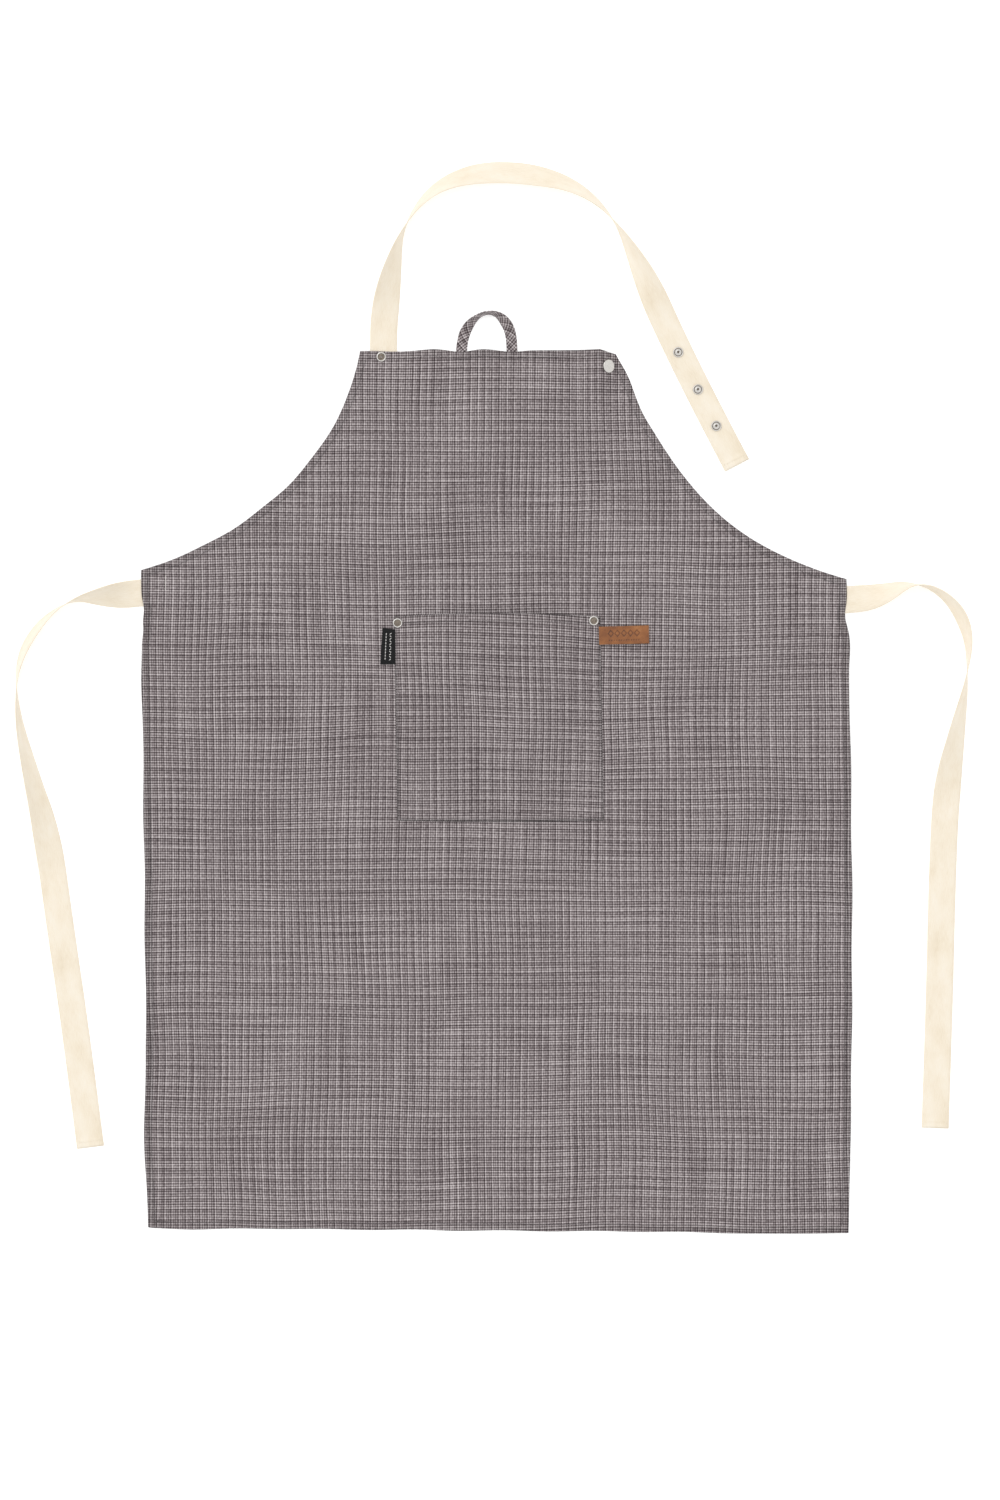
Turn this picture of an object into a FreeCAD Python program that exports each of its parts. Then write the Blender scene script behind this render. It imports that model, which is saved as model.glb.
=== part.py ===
import FreeCAD, Part
import math
import os

# A bib apron lying flat on its back, in millimetres. +Z points out of its front face and +Y points from the
# skirt to the bib. The origin is in the middle of the apron's width and length, its hanging loop included and
# its tapes left out, on the surface that it lies on.

Vector = FreeCAD.Vector
UP = Vector(0, 0, 1)

# ---------------------------------------------------------------- driving dimensions

CLOTH = 0.6  # thickness of one layer of the checked cloth
CLOTH_UNDERSIDE = 1.2  # one turned hem lies below the front layer and holds it this far up
CLOTH_FACE = CLOTH_UNDERSIDE + CLOTH
HEM_WIDTH = 8.0

BIB_LEFT = (-133.8, 413.4)
BIB_CREASE = (101.4, 414.3)
BIB_RIGHT = (115.2, 407.5)
LEFT_ARMHOLE = ((-155.2, 292.8), (-262.8, 223.0))
RIGHT_ARMHOLE = ((174.2, 280.4), (228.5, 221.3))
SIDE_LEFT_TOP = (-348.4, 198.7)
SIDE_RIGHT_TOP = (343.0, 189.9)
SIDE_RIGHT_MIDDLE = (348.4, -130.0)
SIDE_RIGHT_AT_TIE = 343.6
SKIRT_LEFT = (-341.5, -445.5)
SKIRT_MIDDLE = (0.0, -451.0)
SKIRT_RIGHT = (344.5, -446.5)

CURL_START = 80.0  # where the bib's right corner begins to rise
CURL_RIDGE = 101.4
CURL_FOOT = 117.0
CURL_RISE = 9.7
CURL_DROP = 1.2
CURL_FULL_FROM = 388.0  # the corner stands at its full height above this line
CURL_FLAT_BELOW = 358.0

TAPE_WIDTH = 26.5
TAPE = 1.1
FOLD_GAP = 0.3
FOLD_REACH = 3.2  # how far past the apron's edge a tape folds
NOTCH_SIDE_CLEARANCE = 0.5

LOOP_WIDTH = 10.6
LOOP_THICKNESS = 1.1

POCKET_LEFT = -97.0
POCKET_RIGHT = 103.4
POCKET_BOTTOM = -47.2
POCKET_TOP = 154.6
POCKET_MARGIN = 13.6  # the flat border that is sewn down, wide enough for a rivet
POCKET_SLOPE = 14.0
POCKET_DEPTH = 6.4

WOVEN_LABEL = (-113.5, -97.3, 105.0, 140.4)
WOVEN_LABEL_THICKNESS = 0.8
LEATHER_LABEL = (103.7, 149.3, 125.8, 143.4)
LEATHER_LABEL_THICKNESS = 1.6
LABEL_GAP = 0.3

RIVET_RADIUS = 4.75
RIVET_BEAD = 0.75
RIVET_POST = 1.3
RIVET_BACK_RADIUS = 4.4
RIVET_BACK = 0.5
RIVET_FLOOR = (0.2 * RIVET_BEAD, 0.7 * RIVET_BEAD)  # the sunk middle, between these heights
BACKING_GAP = 0.1
POST_CLEARANCE = 0.05
CLOTH_HOLE_CLEARANCE = 0.2
POCKET_RIVET_LEFT = (-97.0, 146.7)
POCKET_RIVET_RIGHT = (95.3, 148.9)
STRAP_RIVET = (-112.9, 407.4)

SNAP_AT = (109.7, 397.9)
SNAP_CAP_RADIUS = 6.6
SNAP_CAP_HEIGHT = 1.5
SNAP_CAP_ROUNDING = 1.2
SNAP_SOCKET_RADIUS = 4.9
SNAP_SOCKET_HEIGHT = 2.9
SNAP_SOCKET_ROOF = 0.8  # the post of the cap ends in it
SNAP_BORE = 2.55
SPRING_DEPTH = 1.8  # below the top of the socket
SPRING_RADIUS = 2.75
SPRING_WIRE = 0.3
SPRING_TURN = 300.0  # the spring is an open ring

STUD_RADIUS = 5.15
STUD_BEAD = 0.55
STUD_FLOOR = 0.1
STUD_NECK = 1.8
STUD_HEAD_BEAD = 0.6
STUD_HEAD = 2.1
STUD_HEIGHT = 2.7
STUD_ROOF = 0.9
EYELET_REACH = 1.2  # how far an eyelet's post goes into its stud
STUDS = ((178.0, 412.0), (197.3, 375.5), (215.3, 339.8))

SECTION_STEP = 10.0  # distance between the sections of a tape that leans
OVERHANG = 50.0  # how far a cutting block reaches past what it cuts

# The middle line of each tape, seen from the front, and how far the tape leans from lying flat, in degrees,
# at distances along that line. A positive lean lifts the edge on the left of the way that the line runs.
NECK_ROUTE = (
    (-111.0, 388.0),
    (-110.8, 416.0),
    (-110.3, 445.7),
    (-103.4, 487.8),
    (-90.7, 535.9),
    (-63.2, 572.1),
    (-22.1, 589.8),
    (30.9, 589.8),
    (78.9, 576.0),
    (113.2, 544.7),
    (140.6, 494.7),
    (172.0, 426.1),
    (206.0, 357.5),
    (235.7, 301.2),
)
NECK_LEAN = ((0, 0), (56, 0), (144, 90), (258, 141), (284, 141), (396, 90), (491, 0), (700, 0))
LEFT_TIE_ROUTE = (
    (-324.4, 179.0),
    (-349.0, 176.2),
    (-380.7, 172.3),
    (-418.0, 169.3),
    (-449.3, 143.9),
    (-468.9, 106.6),
    (-468.9, 59.6),
    (-456.2, 2.7),
    (-440.5, -56.1),
    (-427.8, -149.2),
    (-411.1, -261.9),
    (-397.9, -366.9),
)
LEFT_TIE_LEAN = (
    (0, 0),
    (30, 0),
    (88, -90),
    (135, -113),
    (160, -113),
    (212, -90),
    (305, -50),
    (380, 0),
    (700, 0),
)
RIGHT_TIE_ROUTE = (
    (321.5, 168.6),
    (346.5, 169.6),
    (371.9, 172.3),
    (410.1, 188.0),
    (443.5, 171.3),
    (462.1, 137.0),
    (460.1, 92.9),
    (450.3, 41.9),
    (440.5, -16.9),
    (436.6, -105.1),
    (433.9, -226.6),
    (429.7, -348.1),
)
RIGHT_TIE_LEAN = ((0, 0), (30, 0), (92, -90), (149, -113), (192, -90), (273, -42), (330, 0), (700, 0))
LOOP_ROUTE = (
    (-34.6, 404.0),
    (-34.6, 420.0),
    (-29.0, 437.0),
    (-14.5, 450.3),
    (1.0, 450.0),
    (12.5, 437.0),
    (15.4, 420.0),
    (15.2, 404.0),
)
LOOP_LEAN = ((0, 0), (24, 0), (48, 72), (58, 80), (66, 68), (80, 15), (90, 0), (130, 0))

# The line that each flexible piece folds on: a point, and the way that it runs with the piece on its left.
NECK_FOLD = (Vector(-97.5, 417.0, TAPE), -25.0)
LEFT_TIE_FOLD = (Vector(SIDE_LEFT_TOP[0] - FOLD_REACH, 176.0, TAPE), 90.0)
RIGHT_TIE_FOLD = (Vector(SIDE_RIGHT_AT_TIE + FOLD_REACH, 169.6, TAPE), -90.0)
LOOP_FOLD = (Vector(0, BIB_CREASE[1] + FOLD_REACH, LOOP_THICKNESS), 0.0)


# ---------------------------------------------------------------- plain shapes


def point(flat, height=0.0):
    return Vector(flat[0], flat[1], height)


def box(x_low, x_high, y_low, y_high, z_low, z_high):
    return Part.makeBox(x_high - x_low, y_high - y_low, z_high - z_low, Vector(x_low, y_low, z_low))


def upright(radius, z_low, z_high, at=(0, 0)):
    return Part.makeCylinder(radius, z_high - z_low, point(at, z_low))


def bead(ring_radius, wire_radius, height, turn=360):
    section = Part.makeCircle(wire_radius, Vector(ring_radius, 0, height), Vector(0, 1, 0))
    return Part.Face(Part.Wire(section)).revolve(Vector(0, 0, 0), UP, turn)


def slab(wire, z_low, z_high):
    face = Part.Face(wire)
    face.translate(UP * z_low)
    return face.extrude(UP * (z_high - z_low))


def inset(wire, by):
    inner = wire.makeOffset2D(-by)
    return Part.Wire([edge.toNurbs().Edges[0] for edge in inner.Edges])


def at_place(shape, place):
    moved = shape.copy()
    moved.Placement = place
    return moved


def half_space(fold, side):
    """A block on one side of a fold line: side 1 is on the left of the way that it runs, -1 on its right."""
    start, heading = fold
    reach = 1200.0  # longer than the apron and its tapes
    block = Part.makeBox(2 * reach, reach, reach, Vector(-reach, 0, -reach / 2))
    if side < 0:
        block.translate(Vector(0, -reach, 0))
    block.translate(Vector(0, side * FOLD_GAP / 2, 0))
    return at_place(block, FreeCAD.Placement(start, FreeCAD.Rotation(UP, heading)).multiply(block.Placement))


# ---------------------------------------------------------------- tapes


def rounded_path(route, name):
    """Straight runs joined by tangent arcs, each arc as large as its two runs allow."""
    corners = [point(flat) for flat in route]
    edges = []
    start = corners[0]
    radii = []
    for before, corner, after in zip(corners, corners[1:], corners[2:]):
        inward = (corner - before).normalize()
        outward = (after - corner).normalize()
        half_turn = inward.getAngle(outward) / 2
        cut = 0.45 * min((corner - before).Length, (after - corner).Length)
        arc_start = corner - inward * cut
        arc_end = corner + outward * cut
        radius = cut / math.tan(half_turn)
        to_centre = (outward - inward).normalize()
        middle = corner + to_centre * (radius / math.cos(half_turn) - radius)
        edges.append(Part.LineSegment(start, arc_start).toShape())
        edges.append(Part.Arc(arc_start, middle, arc_end).toShape())
        start = arc_end
        radii.append(radius)
    edges.append(Part.LineSegment(start, corners[-1]).toShape())
    print(name, "radii", [round(radius) for radius in radii])
    return Part.Wire(edges)


def lean_at(leans, distance):
    for (near, lean_near), (far, lean_far) in zip(leans, leans[1:]):
        if distance <= far:
            return lean_near + (lean_far - lean_near) * (distance - near) / (far - near)
    return leans[-1][1]


def tape(route, leans, width, thickness, name):
    """A flat strip along a route. Where it leans, its lower edge stays on the surface that it lies on."""
    path = rounded_path(route, name)
    count = math.ceil(path.Length / SECTION_STEP) + 1
    middle = path.discretize(Number=count)
    step = path.Length / (count - 1)
    sections = []
    for index, place in enumerate(middle):
        ahead = middle[min(index + 1, count - 1)]
        behind = middle[max(index - 1, 0)]
        forward = (ahead - behind).normalize()
        left = UP.cross(forward)
        lean = math.radians(lean_at(leans, index * step))
        across = left * math.cos(lean) + UP * math.sin(lean)
        through = UP * math.cos(lean) - left * math.sin(lean)
        height = abs(across.z) * width / 2 + abs(through.z) * thickness / 2
        centre = place + UP * height
        corners = [
            centre + across * (i * width / 2) + through * (j * thickness / 2)
            for i, j in ((-1, -1), (1, -1), (1, 1), (-1, 1))
        ]
        sections.append(Part.makePolygon(corners + corners[:1]))
    solid = Part.makeLoft(sections, True, True)
    print(
        f"{name} length {path.Length:.1f}, volume {solid.Volume:.0f},"
        f" section times length {width * thickness * path.Length:.0f}"
    )
    return solid


# ---------------------------------------------------------------- body panel


def outline():
    left_curve = Part.BezierCurve()
    left_curve.setPoles([point(p) for p in (SIDE_LEFT_TOP, *reversed(LEFT_ARMHOLE), BIB_LEFT)])
    right_curve = Part.BezierCurve()
    right_curve.setPoles([point(p) for p in (BIB_RIGHT, *RIGHT_ARMHOLE, SIDE_RIGHT_TOP)])
    edges = [
        Part.LineSegment(point(SKIRT_LEFT), point(SIDE_LEFT_TOP)),
        left_curve,
        Part.LineSegment(point(BIB_LEFT), point(BIB_CREASE)),
        Part.LineSegment(point(BIB_CREASE), point(BIB_RIGHT)),
        right_curve,
        Part.Arc(point(SIDE_RIGHT_TOP), point(SIDE_RIGHT_MIDDLE), point(SKIRT_RIGHT)),
        Part.Arc(point(SKIRT_RIGHT), point(SKIRT_MIDDLE), point(SKIRT_LEFT)),
    ]
    return Part.Wire([edge.toShape() for edge in edges])


def curl_section(y, share):
    """The bib's right corner cut across at y, standing at a share of its full height."""
    across = (
        (CURL_START, CLOTH_FACE),
        (CURL_RIDGE, CLOTH_FACE + CURL_RISE * share),
        (CURL_FOOT, CLOTH_FACE - CURL_DROP * share),
        (BIB_RIGHT[0] + OVERHANG, CLOTH_FACE - CURL_DROP * share),
    )
    above = [Vector(x, y, z) for x, z in across]
    below = [Vector(x, y, z - CLOTH) for x, z in reversed(across)]
    return Part.makePolygon(above + below + above[:1])


def corner_curl(edge):
    sections = [
        curl_section(BIB_CREASE[1] + OVERHANG, 1.0),
        curl_section(CURL_FULL_FROM, 1.0),
        curl_section(CURL_FLAT_BELOW, 0.0),
    ]
    curl = Part.makeLoft(sections, True, True)
    return curl.common(slab(edge, -OVERHANG, OVERHANG))


def snap_place():
    """The bib's snap stands square on the sloping side of the curled corner."""
    slope = (CURL_RISE + CURL_DROP) / (CURL_FOOT - CURL_RIDGE)
    height = CLOTH_FACE + CURL_RISE - slope * (SNAP_AT[0] - CURL_RIDGE)
    tilt = math.degrees(math.atan(slope))
    return FreeCAD.Placement(point(SNAP_AT, height), FreeCAD.Rotation(Vector(0, 1, 0), tilt))


def body_panel(tapes):
    edge = outline()
    curl_zone = box(CURL_START, BIB_RIGHT[0] + OVERHANG, CURL_FLAT_BELOW, BIB_CREASE[1] + OVERHANG, -1, 20)
    front = slab(edge, CLOTH_UNDERSIDE, CLOTH_FACE)
    hem = slab(edge, 0, CLOTH_UNDERSIDE).cut(slab(inset(edge, HEM_WIDTH), -1, CLOTH_FACE))
    panel = front.fuse(hem).cut(curl_zone).fuse(corner_curl(edge))
    for low, high in tapes:
        panel = panel.cut(box(low[0], high[0], low[1], high[1], -1, CLOTH_UNDERSIDE))
    hole = RIVET_POST + CLOTH_HOLE_CLEARANCE
    for at in (POCKET_RIVET_LEFT, POCKET_RIVET_RIGHT, STRAP_RIVET):
        panel = panel.cut(upright(hole, -1, CLOTH_FACE + 1, at))
    panel = panel.cut(at_place(upright(hole, -3, 3), snap_place()))
    return panel.removeSplitter()


def notch(end, clearance=NOTCH_SIDE_CLEARANCE):
    """The room below the front layer that the sewn end of a tape needs, as two corners."""
    bounds = end.BoundBox
    low = (bounds.XMin - clearance, bounds.YMin - clearance)
    high = (bounds.XMax + clearance, bounds.YMax + clearance)
    return low, high


# ---------------------------------------------------------------- pocket


def pocket_hollow(wall, rise, mouth):
    """A low frustum that runs out of the pocket's mouth, a wall's width inside its sewn border."""
    left = POCKET_LEFT + POCKET_MARGIN + wall
    right = POCKET_RIGHT - POCKET_MARGIN - wall
    bottom = POCKET_BOTTOM + POCKET_MARGIN + wall
    top = POCKET_TOP + mouth
    base = ((left, bottom), (right, bottom), (right, top), (left, top))
    crown = (
        (left + POCKET_SLOPE, bottom + POCKET_SLOPE),
        (right - POCKET_SLOPE, bottom + POCKET_SLOPE),
        (right - POCKET_SLOPE, top),
        (left + POCKET_SLOPE, top),
    )
    low = [point(p, CLOTH_FACE) for p in base]
    high = [point(p, CLOTH_FACE + rise) for p in crown]
    rings = [Part.makePolygon(corners + corners[:1]) for corners in (low, high)]
    return Part.makeLoft(rings, True, True)


def pocket_panel():
    flat = box(POCKET_LEFT, POCKET_RIGHT, POCKET_BOTTOM, POCKET_TOP, CLOTH_FACE, CLOTH_FACE + CLOTH)
    front = flat.fuse(pocket_hollow(0.0, POCKET_DEPTH, 0.0))
    pocket = front.cut(pocket_hollow(2 * CLOTH, POCKET_DEPTH - CLOTH, OVERHANG))
    for at in (POCKET_RIVET_LEFT, POCKET_RIVET_RIGHT):
        pocket = pocket.cut(upright(RIVET_POST + CLOTH_HOLE_CLEARANCE, 0, CLOTH_FACE + OVERHANG, at))
    return pocket.removeSplitter()


# ---------------------------------------------------------------- rivets, snap and studs


def rivet_ring(depth):
    """A ring with a sunk middle, and a post that reaches down through the cloth to its backing."""
    middle = RIVET_RADIUS - RIVET_BEAD
    ring = bead(middle, RIVET_BEAD, RIVET_BEAD).fuse(upright(middle, *RIVET_FLOOR))
    return ring.fuse(upright(RIVET_POST, -depth, RIVET_FLOOR[1])).removeSplitter()


def rivet_backing():
    backing = upright(RIVET_BACK_RADIUS, 0, RIVET_BACK)
    return backing.cut(upright(RIVET_POST + POST_CLEARANCE, -1, 1))


def snap_cap(depth):
    cap = upright(SNAP_CAP_RADIUS, 0, SNAP_CAP_HEIGHT)
    rim = [edge for edge in cap.Edges if edge.BoundBox.ZMin > SNAP_CAP_HEIGHT / 2]
    cap = cap.makeFillet(SNAP_CAP_ROUNDING, rim)
    return cap.fuse(upright(RIVET_POST, -depth, SNAP_CAP_HEIGHT / 2)).removeSplitter()


def snap_socket(top):
    bottom = top - SNAP_SOCKET_HEIGHT
    socket = upright(SNAP_SOCKET_RADIUS, bottom, top)
    bore = upright(SNAP_BORE, bottom - 1, top - SNAP_SOCKET_ROOF)
    room = SPRING_WIRE + POST_CLEARANCE
    groove = upright(SPRING_RADIUS + room, top - SPRING_DEPTH - room, top - SPRING_DEPTH + room)
    post_hole = upright(RIVET_POST + POST_CLEARANCE, bottom, top + 1)
    return socket.cut(bore).cut(groove).cut(post_hole)


def stud():
    middle = STUD_RADIUS - STUD_BEAD
    base = bead(middle, STUD_BEAD, STUD_BEAD).fuse(upright(middle, STUD_FLOOR, STUD_BEAD))
    head_height = STUD_HEIGHT - STUD_HEAD_BEAD
    head = bead(STUD_HEAD - STUD_HEAD_BEAD, STUD_HEAD_BEAD, head_height)
    neck = upright(STUD_NECK, 0, head_height)
    bore = upright(RIVET_POST + POST_CLEARANCE, -1, STUD_HEIGHT - STUD_ROOF)
    return base.fuse(neck).fuse(head).cut(bore).removeSplitter()


def stud_eyelet(reach):
    eyelet = upright(RIVET_BACK_RADIUS, 0, RIVET_BACK).fuse(upright(RIVET_POST, 0, reach))
    return eyelet.cut(upright(RIVET_POST / 2, -1, reach + 1)).removeSplitter()


def moved_to(shape, at, height=0.0):
    return at_place(shape, FreeCAD.Placement(point(at, height), FreeCAD.Rotation()))


def fastener_recess(at):
    """Room in a tape for a backing that lies flush with its underside, and for the post above it."""
    flange = upright(RIVET_BACK_RADIUS + CLOTH_HOLE_CLEARANCE, -1, RIVET_BACK + POST_CLEARANCE, at)
    return flange.fuse(upright(RIVET_POST + CLOTH_HOLE_CLEARANCE, -1, TAPE + 1, at))


# ---------------------------------------------------------------- assembly


def main():
    parts = {}

    neck = tape(NECK_ROUTE, NECK_LEAN, TAPE_WIDTH, TAPE, "neck strap")
    for at in (STRAP_RIVET, *STUDS):
        neck = neck.cut(fastener_recess(at))
    left = tape(LEFT_TIE_ROUTE, LEFT_TIE_LEAN, TAPE_WIDTH, TAPE, "left tie")
    right = tape(RIGHT_TIE_ROUTE, RIGHT_TIE_LEAN, TAPE_WIDTH, TAPE, "right tie")
    loop = tape(LOOP_ROUTE, LOOP_LEAN, LOOP_WIDTH, LOOP_THICKNESS, "hanging loop")
    strips = (
        ("neck_strap", neck, NECK_FOLD, "neck_strap_sewn_end"),
        ("left_tie", left, LEFT_TIE_FOLD, "left_tie_sewn_end"),
        ("right_tie", right, RIGHT_TIE_FOLD, "right_tie_sewn_end"),
        ("hanging_loop", loop, LOOP_FOLD, "hanging_loop_sewn_ends"),
    )
    notches = []
    for name, strip, fold, end_name in strips:
        parts[name] = strip.common(half_space(fold, 1))
        parts[end_name] = strip.common(half_space(fold, -1))
        notches += [notch(solid) for solid in parts[end_name].Solids]
    parts["body_panel"] = body_panel(notches)
    parts["pocket_panel"] = pocket_panel()

    label_bottom = CLOTH_FACE + LABEL_GAP
    parts["woven_label"] = box(*WOVEN_LABEL, label_bottom, label_bottom + WOVEN_LABEL_THICKNESS)
    parts["leather_label"] = box(*LEATHER_LABEL, label_bottom, label_bottom + LEATHER_LABEL_THICKNESS)

    pocket_face = CLOTH_FACE + CLOTH
    behind_cloth = CLOTH_UNDERSIDE - BACKING_GAP - RIVET_BACK
    rivets = (
        ("pocket_rivet_left", POCKET_RIVET_LEFT, pocket_face, behind_cloth),
        ("pocket_rivet_right", POCKET_RIVET_RIGHT, pocket_face, behind_cloth),
        ("strap_rivet", STRAP_RIVET, CLOTH_FACE, 0.0),
    )
    for name, at, top, bottom in rivets:
        parts[name + "_ring"] = moved_to(rivet_ring(top - bottom), at, top)
        parts[name + "_backing"] = moved_to(rivet_backing(), at, bottom)

    place = snap_place()
    spring = bead(SPRING_RADIUS, SPRING_WIRE, -CLOTH - SPRING_DEPTH, SPRING_TURN)
    parts["bib_snap_cap"] = at_place(snap_cap(CLOTH + SNAP_SOCKET_ROOF), place)
    parts["bib_snap_socket"] = at_place(snap_socket(-CLOTH), place)
    parts["bib_snap_spring"] = at_place(spring, place)

    for number, at in enumerate(STUDS, 1):
        parts[f"strap_stud_{number}"] = moved_to(stud(), at, TAPE)
        parts[f"strap_stud_{number}_eyelet"] = moved_to(stud_eyelet(TAPE + EYELET_REACH), at)

    os.makedirs("parts", exist_ok=True)
    for name, shape in parts.items():
        solids = shape.Solids
        bounds = shape.BoundBox
        print(
            f"{name}: {len(solids)} solid, valid {shape.isValid()}, volume {shape.Volume:.0f},"
            f" z {bounds.ZMin:.2f} to {bounds.ZMax:.2f}"
        )
        kept = solids[0] if len(solids) == 1 else Part.makeCompound(solids)
        kept.exportStep(f"parts/{name}.step")


main()
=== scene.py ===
import math

import bpy
import numpy as np
from mathutils import Matrix, Vector
from mathutils.geometry import delaunay_2d_cdt


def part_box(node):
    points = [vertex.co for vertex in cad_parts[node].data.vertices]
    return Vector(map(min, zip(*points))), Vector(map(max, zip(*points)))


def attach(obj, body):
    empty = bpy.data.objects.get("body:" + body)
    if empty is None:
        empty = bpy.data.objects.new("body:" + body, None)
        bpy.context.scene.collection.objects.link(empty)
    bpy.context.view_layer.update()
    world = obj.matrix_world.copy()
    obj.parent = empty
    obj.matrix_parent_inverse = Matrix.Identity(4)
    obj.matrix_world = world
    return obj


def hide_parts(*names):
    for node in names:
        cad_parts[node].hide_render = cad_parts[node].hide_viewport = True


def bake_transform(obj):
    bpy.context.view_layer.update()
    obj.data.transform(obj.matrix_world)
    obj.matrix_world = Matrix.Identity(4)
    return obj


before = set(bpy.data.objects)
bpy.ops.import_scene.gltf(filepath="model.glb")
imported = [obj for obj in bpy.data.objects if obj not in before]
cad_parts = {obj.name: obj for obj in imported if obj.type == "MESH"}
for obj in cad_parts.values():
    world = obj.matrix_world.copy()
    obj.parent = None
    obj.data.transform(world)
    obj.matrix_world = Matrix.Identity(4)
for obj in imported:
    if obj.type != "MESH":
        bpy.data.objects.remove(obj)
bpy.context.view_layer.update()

# A bib apron lying flat on its back. Metres; +Z points out of its front face, +Y from the skirt to the bib.

MM = 0.001

# ---- driving dimensions

# One turned hem lies below the front layer, so the front stands a little higher along every edge.
HEM_FACE = 1.8 * MM
HEM_WIDTH = 8.0 * MM
HEM_STEP = 0.5 * MM
HEM_ROW = 6.9 * MM  # from the edge to the hem's row of stitches
OPEN_FACE = HEM_FACE - HEM_STEP
CLOTH_THICK = 0.25 * MM
THREAD_CLEAR = 0.12 * MM  # how far a thread's middle stands above the cloth

BIB_LEFT = (-0.1338, 0.4134)
BIB_CREASE = (0.1014, 0.4143)
BIB_RIGHT = (0.1160, 0.4103)
LEFT_ARMHOLE = ((-0.2628, 0.2230), (-0.1552, 0.2928))
RIGHT_ARMHOLE = ((0.1742, 0.2804), (0.2285, 0.2213))
SIDE_LEFT_TOP = (-0.3484, 0.1987)
SIDE_RIGHT_TOP = (0.3430, 0.1899)
SIDE_RIGHT_MIDDLE = (0.3484, -0.1300)
SKIRT_LEFT = (-0.3415, -0.4455)
SKIRT_MIDDLE = (0.0, -0.4487)
SKIRT_RIGHT = (0.3450, -0.4503)

CURL_START = 0.080
CURL_RIDGE = 0.1014
CURL_FOOT = 0.117
CURL_RISE = 9.7 * MM
CURL_DROP = 1.2 * MM
CURL_SLOPE = (CURL_RISE + CURL_DROP) / (CURL_FOOT - CURL_RIDGE)
CURL_FULL_FROM = 0.388
CURL_FLAT_BELOW = 0.358
# The box round the curled corner, where the cloth's points are closer together.
CORNER_LOW = (CURL_START - 6 * MM, CURL_FLAT_BELOW - 6 * MM)
CORNER_HIGH = (0.125, 0.425)

SNAP_AT = (0.1097, 0.3979)

TAPE_WIDTH = 26.5 * MM
TAPE_UNDERSIDE = 0.1 * MM
TAPE_FACE = 1.1 * MM
LOOP_WIDTH = 10.6 * MM

# The middle line of each tape, seen from the front, and how far the tape leans from lying flat, in degrees, at
# distances along that line. A positive lean lifts the edge on the left of the way that the line runs.
NECK_ROUTE = (
    (-0.1110, 0.3880), (-0.1108, 0.4160), (-0.1103, 0.4457), (-0.1034, 0.4878), (-0.0907, 0.5359),
    (-0.0632, 0.5708), (-0.0221, 0.5873), (0.0309, 0.5870), (0.0789, 0.5736), (0.1132, 0.5447),
    (0.1406, 0.4947), (0.1720, 0.4261), (0.2060, 0.3575), (0.2357, 0.3012),
)
NECK_LEAN = ((0, 0), (0.056, 0), (0.144, 90), (0.246, 148), (0.294, 148), (0.396, 90), (0.491, 0))
LEFT_TIE_ROUTE = (
    (-0.3244, 0.1790), (-0.3490, 0.1762), (-0.3807, 0.1723), (-0.4180, 0.1693), (-0.4493, 0.1439),
    (-0.4689, 0.1066), (-0.4689, 0.0596), (-0.4562, 0.0027), (-0.4405, -0.0561), (-0.4278, -0.1492),
    (-0.4111, -0.2619), (-0.3979, -0.3669),
)
LEFT_TIE_LEAN = (
    (0, 0), (0.030, 0), (0.088, -90), (0.135, -113), (0.160, -113), (0.212, -90), (0.305, -50), (0.380, 0)
)
RIGHT_TIE_ROUTE = (
    (0.3215, 0.1686), (0.3465, 0.1696), (0.3719, 0.1723), (0.4101, 0.1880), (0.4435, 0.1713),
    (0.4621, 0.1370), (0.4601, 0.0929), (0.4503, 0.0419), (0.4405, -0.0169), (0.4366, -0.1051),
    (0.4339, -0.2266), (0.4297, -0.3481),
)
RIGHT_TIE_LEAN = ((0, 0), (0.030, 0), (0.092, -90), (0.149, -113), (0.192, -90), (0.273, -42), (0.330, 0))
# Each tape: its route, its lean, how far the lean's changes spread, and its whole length.
TAPES = (
    ("neck_strap", NECK_ROUTE, NECK_LEAN, 50 * MM, 0.659),
    ("left_tie", LEFT_TIE_ROUTE, LEFT_TIE_LEAN, 40 * MM, 0.654),
    ("right_tie", RIGHT_TIE_ROUTE, RIGHT_TIE_LEAN, 40 * MM, 0.651),
)
LOOP_ROUTE = (
    (-0.0346, 0.4040), (-0.0346, 0.4200), (-0.0290, 0.4370), (-0.0145, 0.4503), (0.0010, 0.4500),
    (0.0125, 0.4370), (0.0154, 0.4200), (0.0152, 0.4040),
)
LOOP_LEAN = ((0, 0), (0.024, 0), (0.048, 72), (0.058, 80), (0.066, 68), (0.080, 15), (0.090, 0))


# ---- materials


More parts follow.
